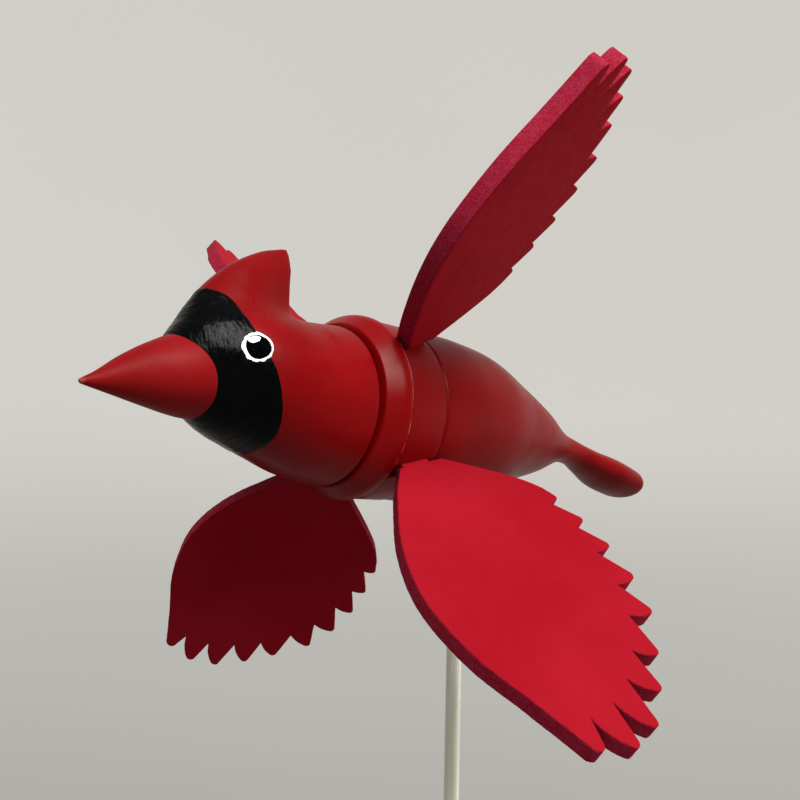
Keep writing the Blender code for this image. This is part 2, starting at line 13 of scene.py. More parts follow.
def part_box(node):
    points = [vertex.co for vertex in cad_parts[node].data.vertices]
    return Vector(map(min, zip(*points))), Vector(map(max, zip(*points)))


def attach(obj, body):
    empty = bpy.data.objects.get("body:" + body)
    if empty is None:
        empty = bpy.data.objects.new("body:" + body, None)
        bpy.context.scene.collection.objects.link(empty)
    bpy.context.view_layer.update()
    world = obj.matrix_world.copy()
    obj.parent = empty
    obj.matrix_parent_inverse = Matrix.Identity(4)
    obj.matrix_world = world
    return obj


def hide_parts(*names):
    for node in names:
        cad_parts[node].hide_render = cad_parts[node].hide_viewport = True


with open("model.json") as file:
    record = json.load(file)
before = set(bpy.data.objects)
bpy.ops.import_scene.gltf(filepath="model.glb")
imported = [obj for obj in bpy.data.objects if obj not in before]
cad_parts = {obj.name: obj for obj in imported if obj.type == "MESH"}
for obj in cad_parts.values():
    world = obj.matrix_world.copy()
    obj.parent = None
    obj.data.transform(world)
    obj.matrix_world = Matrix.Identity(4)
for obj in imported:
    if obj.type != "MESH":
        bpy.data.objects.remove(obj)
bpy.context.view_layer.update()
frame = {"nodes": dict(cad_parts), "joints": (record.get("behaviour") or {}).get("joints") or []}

MM = 0.001
JOINTS = {joint["name"]: joint for joint in frame["joints"]}
O = Vector(JOINTS["rotor_spin"]["pos_m"])
SWING = Vector(JOINTS["bird_swing"]["pos_m"])
AT_O = Matrix.Translation(O)


def box_mm(node):
    """A CAD node's lowest and highest corners in millimetres from O."""
    return [(corner - O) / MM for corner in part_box(node)]


# ------------------------------------------------------------------ dimensions, mm from O
GAP = 0.3
COLLAR_FRONT, COLLAR_REAR = box_mm("rotor_collar")[0].x, box_mm("rotor_collar")[1].x
COLLAR_RADIUS = box_mm("rotor_collar")[1].z
COLLAR_NOSE_RADIUS = 24.5
COLLAR_SHOULDER = -6.4
BAND_FRONT, BAND_REAR = COLLAR_REAR + GAP, box_mm("rotor_hub")[1].x
BOSS_FRONT = box_mm("rotor_hub")[0].x
BAND_RADIUS = 27.3
BOSS_RADIUS = 12.0
HUB_BORE = 5.0
RECESS_RADIUS = 9.0
INSERT_HOLE = 4.2
HOLE_PAST = 2.0

WING_THICKNESS = 5.0
SLOT_FLOOR = 18.0
SLOT_FRONT = -14.0
SLOT_TOP = 39.3
SLOT_CLEAR = 0.2             # between a slot and each face of its wing
TAB_FRONT = -1.4
TAB_REAR = 8.0
WING_ROOT = 28.2
# Each wing's name, its CAD node, its angle round the axis, pitch, rake, slide aft and length.
WINGS = [("wing_upper_foam", "wing_1", 48.6, -22.8, -1.8, 0.6, 1.0),
         ("wing_near_foam", "wing_2", 134.1, -18.0, 2.2, 0.0, 1.0),
         ("wing_lower_foam", "wing_3", 227.3, -29.5, 0.0, 0.6, 1.0),
         ("wing_far_foam", "wing_4", 307.3, -20.0, 5.0, -2.5, 0.91)]
LEADING_EDGE = [(WING_ROOT, -2.6), (38.6, -10.1), (53.5, -18.3), (69.4, -22.0),
                (87.1, -19.6), (103.0, -13.2), (118.0, -7.4)]
FEATHER_TIPS = [(120.3, -4.6), (123.8, 4.6), (121.7, 13.4), (114.5, 22.0), (106.2, 29.5),
                (95.5, 38.4), (84.2, 42.2), (72.9, 43.1), (62.1, 41.8), (52.6, 39.6)]
FEATHER_NOTCHES = [(111.4, -2.5), (110.8, 5.9), (107.5, 14.3), (102.1, 22.1), (93.6, 29.6),
                   (84.6, 34.1), (73.6, 36.3), (64.0, 37.3), (54.1, 35.8)]
TRAILING_ROOT = [(47.9, 37.3), (42.6, 32.4), (34.5, 21.8), (WING_ROOT, 12.6)]
FEATHER_ROUND = 1.6
FEATHER_FULLNESS = 0.10

REAR_FRONT = box_mm("rear_body")[0].x
REAR_STATIONS = [
    (REAR_FRONT, 26.9, -26.9, 26.9),
    (22.0, 27.4, -27.4, 27.4),
    (33.6, 27.1, -27.1, 27.1),
    (50.4, 24.9, -24.9, 24.9),
    (70.0, 18.6, -19.3, 19.0),
    (89.6, 11.4, -14.6, 13.2),
    (106.4, 3.3, -9.5, 7.2),
    (117.6, 0.1, -9.9, 6.4),
    (128.8, -2.8, -13.6, 8.6),
    (142.8, -5.3, -18.8, 11.6),
    (157.0, -8.7, -21.8, 11.6),
]
TAIL_ROUND_FROM = 154.0
TAIL_END = (163.3, -16.5)
REAR_EDGE = 1.2

HEAD_REAR = box_mm("head")[1].x
HEAD_EDGE = 2.2
HEAD_NOSE = 6.0
HEAD_NOSE_REACH = 0.8
HEAD_STATIONS = [
    (-67.0, 9.0, 3.0, 3.0),
    (-65.5, 12.0, -0.5, 6.0),
    (-62.0, 17.0, -5.0, 9.6),
    (-58.0, 21.4, -8.6, 12.4),
    (-52.0, 23.2, -12.2, 16.2),
    (-45.0, 23.6, -15.0, 19.2),
    (-36.0, 23.0, -18.4, 21.4),
    (-26.0, 22.4, -21.9, 22.6),
    (HEAD_REAR, 23.4, -24.6, 24.0),
]
CREST_STATIONS = [
    (-62.5, 0.0, 8.0),
    (-57.7, 4.2, 10.5),
    (-51.3, 10.1, 11.5),
    (-42.0, 16.5, 9.5),
    (-37.3, 18.7, 7.8),
    (-34.0, 19.9, 6.8),
    (-32.5, 19.6, 6.4),
]
CREST_LEAN = 0.2
# Back of the crest: (distance aft of its last station, share of its height left).
CREST_BACK = [(0.0, 1.0), (0.3, 0.85), (0.6, 0.55), (0.9, 0.25), (1.4, 0.07), (2.2, 0.0)]

BEAK_TIP = (-88.2, -2.9)
BEAK_STATIONS = [
    (-87.6, -2.2, -3.6, 0.7),
    (-84.0, 0.0, -4.4, 2.2),
    (-78.4, 4.3, -5.5, 4.9),
    (-70.0, 9.6, -7.2, 8.5),
    (-62.0, 13.2, -8.7, 11.3),
    (-54.0, 14.6, -9.3, 12.4),
]

# Painted face: the rear edge of the black mask as (z, x), from the throat to the crest's ridge.
MASK_EDGE = [(-19.0, -41.6), (-16.0, -40.3), (-12.5, -39.9), (-8.4, -40.9), (-2.4, -42.9),
             (4.4, -45.6), (12.0, -49.2), (18.0, -50.9), (21.6, -51.9), (24.4, -54.5),
             (25.6, -57.2), (28.0, -58.2)]
MASK_FRONT = -66.7
EYE_CENTRE = (-50.0, 16.6, 9.2)
EYE_RADIUS = 4.2
PUPIL_CENTRE = (-49.8, 16.7, 9.15)
PUPIL_RADIUS = 3.64
GLINT_CENTRE = (-50.6, 15.9, 10.9)
GLINT_SIZE = (1.95, 1.15)

ROD_RADIUS = 2.5
SLEEVE_HOLE = 4.3
MOUTH_FLARE = 0.7            # chamfer at the mouth of the belly hole
MOUTH_BELOW = 12.0           # how far the hole's cutter reaches out of the belly


# ------------------------------------------------------------------ outlines
def hermite(stations, x):
    """Smooth values between stations, whose first column is x."""
    last = len(stations) - 1
    i = 0
    while i < last - 1 and x > stations[i + 1][0]:
        i += 1

    def slope(k, column):
        low = stations[max(k - 1, 0)]
        high = stations[min(k + 1, last)]
        return (high[column] - low[column]) / (high[0] - low[0])

    start, end = stations[i], stations[i + 1]
    span = end[0] - start[0]
    t = (x - start[0]) / span
    values = []
    for column in range(1, len(start)):
        rise = start[column] * (2 * t**3 - 3 * t**2 + 1) + end[column] * (3 * t**2 - 2 * t**3)
        lean = slope(i, column) * (t**3 - 2 * t**2 + t) + slope(i + 1, column) * (t**3 - t**2)
        values.append(rise + span * lean)
    return values


def smooth_path(points, steps):
    numbered = [(i, *point) for i, point in enumerate(points)]
    count = (len(points) - 1) * steps
    return [tuple(hermite(numbered, i / steps)) for i in range(count + 1)]


def steps_between(start, end, count):
    return [start + (end - start) * i / count for i in range(count + 1)]


def round_corner(before, corner, after, radius, steps):
    """The arc that replaces a corner."""
    u = (Vector(before) - Vector(corner))
    v = (Vector(after) - Vector(corner))
    long_before, long_after = u.length, v.length
    u.normalize()
    v.normalize()
    half = math.acos(max(-1.0, min(1.0, u.dot(v)))) / 2
    reach = min(radius / math.tan(half), 0.9 * long_before, 0.9 * long_after)
    radius = reach * math.tan(half)
    middle = (u + v).normalized()
    centre = Vector(corner) + middle * (radius / math.sin(half))
    first = Vector(corner) + u * reach - centre
    last = Vector(corner) + v * reach - centre
    turn = math.atan2(first.x * last.y - first.y * last.x, first.dot(last))
    arc = []
    for i in range(steps + 1):
        c, s = math.cos(turn * i / steps), math.sin(turn * i / steps)
        arc.append((centre.x + c * first.x - s * first.y, centre.y + s * first.x + c * first.y))
    return arc


def rounded(corners, steps=8):
    """Corners (u, v, radius) of a closed outline as points, with each radius rounded off."""
    points = []
    count = len(corners)
    for i, (u, v, radius) in enumerate(corners):
        if radius:
            before, after = corners[i - 1], corners[(i + 1) % count]
            points += round_corner(before[:2], (u, v), after[:2], radius, steps)
        else:
            points.append((u, v))
    return points


# ------------------------------------------------------------------ mesh helpers
def smooth_step(t):
    t = max(0.0, min(1.0, t))
    return t * t * (3 - 2 * t)


def add_object(name, verts, faces, angle=40, matrix=AT_O):
    """A mesh object from points in mm under a matrix, with its place in its vertices."""
    mesh = bpy.data.meshes.new(name)
    mesh.from_pydata([matrix @ (Vector(v) * MM) for v in verts], [], faces)
    form = bmesh.new()
    form.from_mesh(mesh)
    bmesh.ops.recalc_face_normals(form, faces=form.faces)
    form.to_mesh(mesh)
    form.free()
    mesh.shade_smooth()
    mesh.set_sharp_from_angle(angle=math.radians(angle))
    obj = bpy.data.objects.new(name, mesh)
    bpy.context.scene.collection.objects.link(obj)
    return obj


def skin(rings, front=None, rear=None, closed=True):
    """Points and faces of a skin over rings, with poles as its ends."""
    count = len(rings[0])
    verts = [point for ring in rings for point in ring]
    faces = []
    around = count if closed else count - 1
    for k in range(len(rings) - 1):
        a, b = k * count, (k + 1) * count
        for i in range(around):
            j = (i + 1) % count
            faces.append((a + i, a + j, b + j, b + i))
    for pole, start in ((front, 0), (rear, (len(rings) - 1) * count)):
        if pole is not None:
            verts.append(pole)
            faces += [(start + i, start + (i + 1) % count, len(verts) - 1) for i in range(count)]
    return verts, faces


def wobble(obj, amount, size, seed, detail=2):
    """Small uneven carving or turning: moves the surface along its normals by smooth noise."""
    mesh = obj.data
    shift = Vector((seed * 7.13, seed * 3.71, seed * 5.39))
    moved = []
    for vert in mesh.vertices:
        place = vert.co / (size * MM) + shift
        value = sum(noise.noise(place * 2**k) / 2**k for k in range(detail))
        moved.append(vert.co + vert.normal * value * amount * MM)
    for vert, place in zip(mesh.vertices, moved):
        vert.co = place
    mesh.update()


def cut(obj, cutters):
    """Takes the cutters out of obj with exact booleans, then deletes them."""
    for cutter in cutters:
        modifier = obj.modifiers.new("cut", "BOOLEAN")
        modifier.operation = "DIFFERENCE"
        modifier.solver = "EXACT"
        modifier.object = cutter
    graph = bpy.context.evaluated_depsgraph_get()
    mesh = bpy.data.meshes.new_from_object(obj.evaluated_get(graph))
    obj.modifiers.clear()
    old, obj.data = obj.data, mesh
    mesh.name = obj.name
    bpy.data.meshes.remove(old)
    for cutter in cutters:
        bpy.data.meshes.remove(cutter.data)
    mesh.set_sharp_from_angle(angle=math.radians(40))


def turned_rings(outline, segments, along="x"):
    """Rings of a turned piece from (along, radius) points."""
    rings = []
    for place, radius in outline:
        ring = []
        for i in range(segments):
            a = 2 * math.pi * i / segments
            c, s = radius * math.cos(a), radius * math.sin(a)
            ring.append((place, c, s) if along == "x" else (c, s, place))
        rings.append(ring)
    return rings


def turned_object(name, outline, segments, along="x", matrix=AT_O):
    """A closed turned piece from a closed outline of (along, radius) points."""
    rings = turned_rings(outline, segments, along)
    return add_object(name, *skin(rings + rings[:1]), matrix=matrix)


def merge_seam(obj):
    form = bmesh.new()
    form.from_mesh(obj.data)
    bmesh.ops.remove_doubles(form, verts=form.verts, dist=0.000002)
    bmesh.ops.recalc_face_normals(form, faces=form.faces)
    form.to_mesh(obj.data)
    form.free()


def finish_piece(obj, body, slot, node, *finishes):
    """Gives a piece its materials and the body it rides on, and hides the CAD node it stands for;
    slot is not used.
    """
    for finish in finishes:
        obj.data.materials.append(finish)
    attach(obj, body)
    if node:
        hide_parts(node)
    return obj


# ------------------------------------------------------------------ shader helpers
class Shader:
    """A material with a Principled shader and short calls for its procedural nodes."""

    def __init__(self, name, **values):
        self.material = bpy.data.materials.new(name)
        self.material.use_nodes = True
        self.tree = self.material.node_tree
        self.shader = self.tree.nodes["Principled BSDF"]
        self.place = self.node("ShaderNodeTexCoord").outputs["Object"]
        for key, value in values.items():
            socket = self.shader.inputs[key.replace("_", " ")]
            socket.default_value = (*value, 1.0) if socket.type == "RGBA" else value

    def node(self, kind, **settings):
        made = self.tree.nodes.new(kind)
        for key, value in settings.items():
            setattr(made, key, value)
        return made

    def plug(self, value, socket):
        if isinstance(value, bpy.types.NodeSocket):
            self.tree.links.new(value, socket)
        else:
            socket.default_value = value

    def stretch(self, scale):
        mapping = self.node("ShaderNodeMapping")
        mapping.inputs["Scale"].default_value = scale
        self.plug(self.place, mapping.inputs["Vector"])
        return mapping.outputs["Vector"]

    def noise(self, scale, detail=3.0, rough=0.5, stretch=(1, 1, 1), warp=0.0):
        made = self.node("ShaderNodeTexNoise")
        self.plug(self.stretch(stretch), made.inputs["Vector"])
        made.inputs["Scale"].default_value = scale
        made.inputs["Detail"].default_value = detail
        made.inputs["Roughness"].default_value = rough
        made.inputs["Distortion"].default_value = warp
        return made.outputs["Fac"]

    def cells(self, scale, feature="F1", output="Distance"):
        made = self.node("ShaderNodeTexVoronoi", feature=feature)
        self.plug(self.place, made.inputs["Vector"])
        made.inputs["Scale"].default_value = scale
        return made.outputs[output]

    def ramp(self, value, low, high, to_low=0.0, to_high=1.0):
        made = self.node("ShaderNodeMapRange", interpolation_type="SMOOTHSTEP")
        self.plug(value, made.inputs["Value"])
        for key, number in zip(("From Min", "From Max", "To Min", "To Max"),
                               (low, high, to_low, to_high)):
            made.inputs[key].default_value = number
        return made.outputs["Result"]

    def maths(self, operation, a, b=0.0):
        made = self.node("ShaderNodeMath", operation=operation)
        self.plug(a, made.inputs[0])
        self.plug(b, made.inputs[1])
        return made.outputs[0]

    def blend(self, share, a, b):
        """Colour a where share is 0 and colour b where it is 1."""
        made = self.node("ShaderNodeMix", data_type="RGBA")
        self.plug(share, made.inputs["Factor"])
        for value, socket in ((a, made.inputs[6]), (b, made.inputs[7])):
            self.plug((*value, 1.0) if isinstance(value, tuple) else value, socket)
        return made.outputs[2]

    def near(self, centre, low, high, mirror=False):
        """1 close to a point in mm from O, falling to 0; mirror takes both of the bird's sides."""
        spot = O + Vector(centre) * MM
        place = self.place
        if mirror:
            split = self.node("ShaderNodeSeparateXYZ")
            self.plug(place, split.inputs[0])
            join = self.node("ShaderNodeCombineXYZ")
            self.plug(split.outputs[0], join.inputs[0])
            self.plug(self.maths("ABSOLUTE", split.outputs[1]), join.inputs[1])
            self.plug(split.outputs[2], join.inputs[2])
            place = join.outputs[0]
        made = self.node("ShaderNodeVectorMath", operation="DISTANCE")
        self.plug(place, made.inputs[0])
        made.inputs[1].default_value = spot
        return self.ramp(made.outputs["Value"], low * MM, high * MM, 1.0, 0.0)

    def axis(self, index):
        split = self.node("ShaderNodeSeparateXYZ")
        self.plug(self.place, split.inputs[0])
        return split.outputs[index]

    def relief(self, *layers):
        """Bump layers as (height, strength, distance in mm)."""
        normal = None
        for height, strength, distance in layers:
            made = self.node("ShaderNodeBump")
            self.plug(height, made.inputs["Height"])
            self.plug(strength, made.inputs["Strength"])
            made.inputs["Distance"].default_value = distance * MM
            if normal is not None:
                self.plug(normal, made.inputs["Normal"])
            normal = made.outputs["Normal"]
        self.plug(normal, self.shader.inputs["Normal"])

    def colour(self, value):
        self.plug(value, self.shader.inputs["Base Color"])

    def roughness(self, value):
        self.plug(value, self.shader.inputs["Roughness"])


BODY_RED = (0.160, 0.0018, 0.0027)
BODY_DEEP = (0.130, 0.0010, 0.0017)
REAR_RED = (0.150, 0.0018, 0.0026)
REAR_DEEP = (0.120, 0.0010, 0.0016)
COLLAR_RED = (0.166, 0.0006, 0.0014)
COLLAR_DEEP = (0.142, 0.0005, 0.0012)
CHIP_PALE = (0.46, 0.30, 0.25)


def enamel(name, light, deep, brush=0.25, shine=(0.30, 0.42), chips=0.0, gloss=0.07,
           coat=0.0):
    """Brushed enamel on carved wood: colour drift, soft brush marks, fine peel, rare chips."""
    s = Shader(name, Specular_IOR_Level=gloss, Coat_Weight=coat, Coat_Roughness=0.12)
    drift = s.ramp(s.noise(38, 3, 0.55), 0.34, 0.68)
    mottle = s.ramp(s.noise(260, 2, 0.6), 0.3, 0.7)
    base = s.blend(drift, light, deep)
    base = s.blend(s.maths("MULTIPLY", mottle, 0.18), base, deep)
    if chips:
        random = s.cells(chips, output="Color")
        spot = s.ramp(s.cells(chips), 0.018, 0.034, 1.0, 0.0)
        few = s.node("ShaderNodeSeparateColor")
        s.plug(random, few.inputs[0])
        rare = s.ramp(few.outputs[0], 0.80, 0.83)
        base = s.blend(s.maths("MULTIPLY", spot, rare), base, CHIP_PALE)
    s.colour(base)
    strokes = s.noise(420, 3, 0.6, stretch=(0.16, 1, 1), warp=0.4)
    s.roughness(s.ramp(s.maths("ADD", s.noise(90, 4, 0.6), s.maths("MULTIPLY", strokes, 0.3)),
                       0.45, 0.95, *shine))
    s.relief((strokes, brush, 0.10), (s.noise(1500, 2, 0.5), 0.10, 0.05),
             (s.noise(120, 2, 0.5), 0.22, 0.35))
    return s


def brushed_head():
    """The head's enamel, with thick brush ridges behind the mask above each eye."""
    s = enamel("paint_red_head", BODY_RED, BODY_DEEP, 0.3, chips=30)
    ridges = s.noise(900, 3, 0.65, stretch=(1, 0.22, 0.30), warp=0.6)
    patch = s.maths("MULTIPLY", s.near((-46.0, 13.5, 21.0), 3.0, 9.5, mirror=True), 0.9)
    made = s.node("ShaderNodeBump")
    s.plug(ridges, made.inputs["Height"])
    s.plug(patch, made.inputs["Strength"])
    made.inputs["Distance"].default_value = 0.22 * MM
    s.plug(s.shader.inputs["Normal"].links[0].from_socket, made.inputs["Normal"])
    s.plug(made.outputs["Normal"], s.shader.inputs["Normal"])
    return s.material


def worn_beak():
    """The beak's enamel, worn down to pale brown wood at its very tip."""
    s = enamel("paint_red_beak", (0.178, 0.0040, 0.0050), (0.148, 0.0024, 0.0034), 0.3,
               (0.44, 0.56), gloss=0.05)
    tip = O + Vector((BEAK_TIP[0], 0, BEAK_TIP[1])) * MM
    ragged = s.maths("MULTIPLY", s.noise(1200, 3, 0.6), 1.6 * MM)
    reach = s.maths("ADD", s.axis(0), ragged)
    worn = s.ramp(reach, tip.x + 1.2 * MM, tip.x + 2.6 * MM, 0.75, 0.0)
    base = s.shader.inputs["Base Color"].links[0].from_socket
    s.colour(s.blend(worn, base, (0.20, 0.055, 0.040)))
    return s.material


def collar_with_painted_rim_highlight():
    """The collar's deeper, smoother enamel; its rear rim has pale patches of painted highlight."""
    s = enamel("paint_red_rotor", COLLAR_RED, COLLAR_DEEP, 0.12, (0.30, 0.40), chips=44,
               gloss=0.10)
    # Painted highlight: pale patches on the rear rim stand in for the light that its edge catches.
    rim = s.ramp(s.axis(0), O.x + (COLLAR_REAR - 1.0) * MM, O.x + (COLLAR_REAR - 0.35) * MM)
    rim_highlight_patches = s.ramp(s.noise(95, 4, 0.7), 0.46, 0.58)
    base = s.shader.inputs["Base Color"].links[0].from_socket
    s.colour(s.blend(s.maths("MULTIPLY", rim, rim_highlight_patches), base, (0.52, 0.14, 0.12)))
    return s.material


def mask_black():
    s = Shader("paint_black_mask", Specular_IOR_Level=0.06)
    drift = s.ramp(s.noise(70, 3, 0.6), 0.3, 0.7)
    s.colour(s.blend(drift, (0.0005, 0.0005, 0.0006), (0.0012, 0.0012, 0.0014)))
    strokes = s.noise(760, 4, 0.65, stretch=(1, 0.20, 0.26), warp=0.5)
    s.roughness(s.ramp(s.noise(160, 3, 0.6), 0.3, 0.7, 0.14, 0.26))
    s.relief((strokes, 1.0, 0.30), (s.noise(1800, 2, 0.5), 0.15, 0.05))
    return s.material


def eye_paint(name, light, dark, shine, gloss=0.3, brush=0.25):
    s = Shader(name, Specular_IOR_Level=gloss)
    s.colour(s.blend(s.ramp(s.noise(700, 3, 0.6), 0.35, 0.7), light, dark))
    s.roughness(s.ramp(s.noise(500, 2, 0.5), 0.3, 0.7, *shine))
    s.relief((s.noise(1400, 3, 0.6, stretch=(1, 0.3, 1)), brush, 0.06))
    return s.material


FOAM_SKIN = (0.240, 0.0046, 0.0120)
FOAM_SKIN_DEEP = (0.208, 0.0024, 0.0072)
FOAM_CELL = (0.31, 0.021, 0.056)
FOAM_CELL_DEEP = (0.22, 0.0090, 0.026)


def foam_skin():
    """The closed skin of sheet foam: matt, with a fine leathery grain and faint dents."""
    s = Shader("foam_skin_red", Specular_IOR_Level=0.03)
    drift = s.ramp(s.noise(26, 3, 0.55), 0.32, 0.70)
    pores = s.ramp(s.cells(1500), 0.0, 0.75)
    base = s.blend(drift, FOAM_SKIN, FOAM_SKIN_DEEP)
    s.colour(s.blend(s.maths("MULTIPLY", pores, 0.22), base, FOAM_SKIN_DEEP))
    s.roughness(s.ramp(s.noise(300, 3, 0.6), 0.3, 0.7, 0.66, 0.80))
    s.relief((pores, 0.22, 0.05), (s.noise(2400, 2, 0.5), 0.15, 0.04),
             (s.noise(70, 2, 0.5), 0.25, 0.5))
    return s.material


def foam_cells():
    """The knife-cut edge of the foam: open cells, granular and lighter."""
    s = Shader("foam_cut_edge", Specular_IOR_Level=0.04)
    cells = s.ramp(s.cells(1900), 0.05, 0.80)
    clumps = s.ramp(s.noise(420, 3, 0.65), 0.36, 0.64)
    base = s.blend(cells, FOAM_CELL, FOAM_CELL_DEEP)
    s.colour(s.blend(s.maths("MULTIPLY", clumps, 0.55), base, FOAM_SKIN))
    s.roughness(s.ramp(clumps, 0.0, 1.0, 0.72, 0.88))
    s.relief((cells, 0.40, 0.09), (s.noise(2600, 3, 0.6), 0.3, 0.05))
    return s.material


def fibreglass():
    """A pultruded glass-fibre rod: pale greenish grey, with streaks of fibre along it."""
    s = Shader("fibreglass_rod", Specular_IOR_Level=0.40, Subsurface_Weight=0.12,
               Subsurface_Radius=(0.9, 1.0, 0.8), Subsurface_Scale=0.0012)
    streaks = s.noise(2100, 3, 0.6, stretch=(1, 1, 0.018))
    bands = s.noise(700, 2, 0.5, stretch=(1, 1, 0.012))
    base = s.blend(s.ramp(streaks, 0.34, 0.66), (0.92, 0.95, 0.80), (0.78, 0.81, 0.67))
    s.colour(s.blend(s.ramp(bands, 0.40, 0.72, 0.0, 0.5), base, (0.92, 0.93, 0.80)))
    s.roughness(s.ramp(streaks, 0.3, 0.7, 0.34, 0.52))
    s.relief((streaks, 0.30, 0.05))
    return s.material


def metal(name, light, dark, shine, turning):
    s = Shader(name, Metallic=1.0)
    marks = s.noise(turning, 3, 0.6, stretch=(1, 0.25, 0.25))
    s.colour(s.blend(s.ramp(marks, 0.3, 0.7), light, dark))
    s.roughness(s.ramp(s.noise(600, 3, 0.6), 0.3, 0.7, *shine))
    s.relief((marks, 0.2, 0.03))
    return s.material


def nylon():
    s = Shader("nylon_washer", Subsurface_Weight=0.15, Subsurface_Scale=0.001)
    s.colour(s.blend(s.noise(300, 3, 0.6), (0.80, 0.79, 0.74), (0.70, 0.69, 0.64)))
    s.roughness(s.ramp(s.noise(500, 2, 0.5), 0.3, 0.7, 0.42, 0.58))
    s.relief((s.noise(900, 2, 0.5), 0.15, 0.04))
    return s.material


# ------------------------------------------------------------------ body shapes
BODY_AROUND = 168
CROWN_HALF = 24


def section(x, top, bottom, half_width, inset=0.0):
    """An oval ring across the bird."""
    middle = (top + bottom) / 2
    high, wide = (top - bottom) / 2 - inset, half_width - inset
    angles = [2 * math.pi * i / BODY_AROUND for i in range(BODY_AROUND)]
    return [(x, wide * math.cos(a), middle + high * math.sin(a)) for a in angles]


def crested_section(x, top, bottom, half_width, height, foot, inset=0.0):
    """An oval ring whose crown rises into a fin, with its own points across the fin's foot."""
    middle = (top + bottom) / 2
    high, wide = (top - bottom) / 2 - inset, half_width - inset
    foot = min(foot, 0.6 * wide)
    points = []
    for i in range(-CROWN_HALF, CROWN_HALF):
        across = -i / CROWN_HALF
        z = middle + high * math.sqrt(1 - (foot * across / wide) ** 2)
        lift = height * (1 - across**2) ** 1.5
        points.append((x + CREST_LEAN * lift, foot * across, z + lift))
    foot_angle = math.acos(foot / wide)
    around = BODY_AROUND - 2 * CROWN_HALF
    for i in range(around):
        a = math.pi - foot_angle + (math.pi + 2 * foot_angle) * i / around
        points.append((x, wide * math.cos(a), middle + high * math.sin(a)))
    return points


def make_rear_body():
    """The turned and carved rear body, hollowed in front for the axle's hardware."""
    insert = box_mm("rear_insert")[0].x - GAP
    deep = box_mm("rear_insert")[1].x + GAP + HOLE_PAST
    rings = []
    for x, radius in ((deep, INSERT_HOLE), (insert, INSERT_HOLE), (insert, RECESS_RADIUS),
                      (REAR_FRONT + 0.4, RECESS_RADIUS), (REAR_FRONT, RECESS_RADIUS + 0.4)):
        rings.append(section(x, radius, -radius, radius))
    for angle in range(0, 90, 10):
        t = math.radians(angle)
        x = REAR_FRONT + REAR_EDGE * (1 - math.cos(t))
        rings.append(section(x, *hermite(REAR_STATIONS, x), inset=REAR_EDGE * (1 - math.sin(t))))
    for x in steps_between(REAR_FRONT + REAR_EDGE, TAIL_ROUND_FROM, 170):
        rings.append(section(x, *hermite(REAR_STATIONS, x)))
    top, bottom, half_width = hermite(REAR_STATIONS, TAIL_ROUND_FROM)
    middle = (top + bottom) / 2
    for angle in range(6, 90, 6):
        t = math.radians(angle)
        x = TAIL_ROUND_FROM + (TAIL_END[0] - TAIL_ROUND_FROM) * math.sin(t)
        z = middle + (TAIL_END[1] - middle) * math.sin(t)
        reach = math.cos(t) * (top - bottom) / 2
        rings.append(section(x, z + reach, z - reach, half_width * math.cos(t)))
    body = add_object("rear_body_wood", *skin(rings, front=(deep, 0, 0),
                                              rear=(TAIL_END[0], 0, TAIL_END[1])))
    wobble(body, 0.09, 22, 3)
    rod_x = (SWING.x - O.x) / MM
    belly = hermite(REAR_STATIONS, rod_x)[1]
    top = box_mm("pivot_sleeve")[1].z + GAP
    start, wide = belly - MOUTH_BELOW, SLEEVE_HOLE + MOUTH_FLARE
    mouth = [(start, wide), (belly - 0.2, wide), (belly + MOUTH_FLARE, SLEEVE_HOLE),
             (top, SLEEVE_HOLE)]
    rings = turned_rings(mouth, 72, "z")
    hole = add_object("pivot_hole", *skin(rings, front=(0, 0, start), rear=(0, 0, top)),
                      matrix=AT_O @ Matrix.Translation((rod_x * MM, 0, 0)))
    cut(body, [hole])
    return body


def crest_at(x):
    """The crest's height and the half width of its foot above x."""
    first, last = CREST_STATIONS[0], CREST_STATIONS[-1]
    if x <= first[0]:
        return 0.0, first[2]
    if x <= last[0]:
        return hermite(CREST_STATIONS, x)
    aft = x - last[0]
    if aft >= CREST_BACK[-1][0]:
        return 0.0, last[2]
    return last[1] * max(hermite(CREST_BACK, aft)[0], 0.0), last[2]


def head_rings(grow=0.0, crest=True):
    """Rings from the head's front to its rear; grow swells the head for the beak's seat."""
    back = CREST_STATIONS[-1][0]
    places = steps_between(HEAD_STATIONS[0][0], back, 84)
    places += steps_between(back, back + CREST_BACK[-1][0], 28)[1:]
    places += steps_between(places[-1], HEAD_REAR - HEAD_EDGE, 28)[1:]
    rings = []
    for x in places:
        height, foot = crest_at(x)
        rings.append(crested_section(x, *hermite(HEAD_STATIONS, x), height if crest else 0.0,
                                     foot, -grow))
    for angle in range(80, -1, -10):
        t = math.radians(angle)
        inset = HEAD_EDGE * (1 - math.sin(t)) - grow
        x = HEAD_REAR - HEAD_EDGE + HEAD_EDGE * math.cos(t)
        rings.append(crested_section(x, *hermite(HEAD_STATIONS, x), 0.0, foot, inset))
    return rings


def head_pole(grow=0.0):
    return (HEAD_STATIONS[0][0] - HEAD_NOSE_REACH - grow, 0, HEAD_NOSE)


def make_head():
    insert = box_mm("head_insert")[1].x + GAP
    deep = box_mm("head_insert")[0].x - GAP - HOLE_PAST
    rings = head_rings()
    for x, radius in ((HEAD_REAR, RECESS_RADIUS + 0.4), (HEAD_REAR - 0.4, RECESS_RADIUS),
                      (insert, RECESS_RADIUS), (insert, INSERT_HOLE), (deep, INSERT_HOLE)):
        rings.append(crested_section(x, radius, -radius, radius, 0.0, 6.4))
    head = add_object("head_wood", *skin(rings, front=head_pole(), rear=(deep, 0, 0)))
    soften_crest(head)
    wobble(head, 0.10, 15, 5)
    return head


SOFTEN_FROM, SOFTEN_TO, SOFTEN_ABOVE = -60.0, -24.0, 9.0
SOFTEN_SHARE = 0.62          # share of the crest's height that is smoothed
SOFTEN_LIFT = 14.0
SOFTEN_PASSES = 26


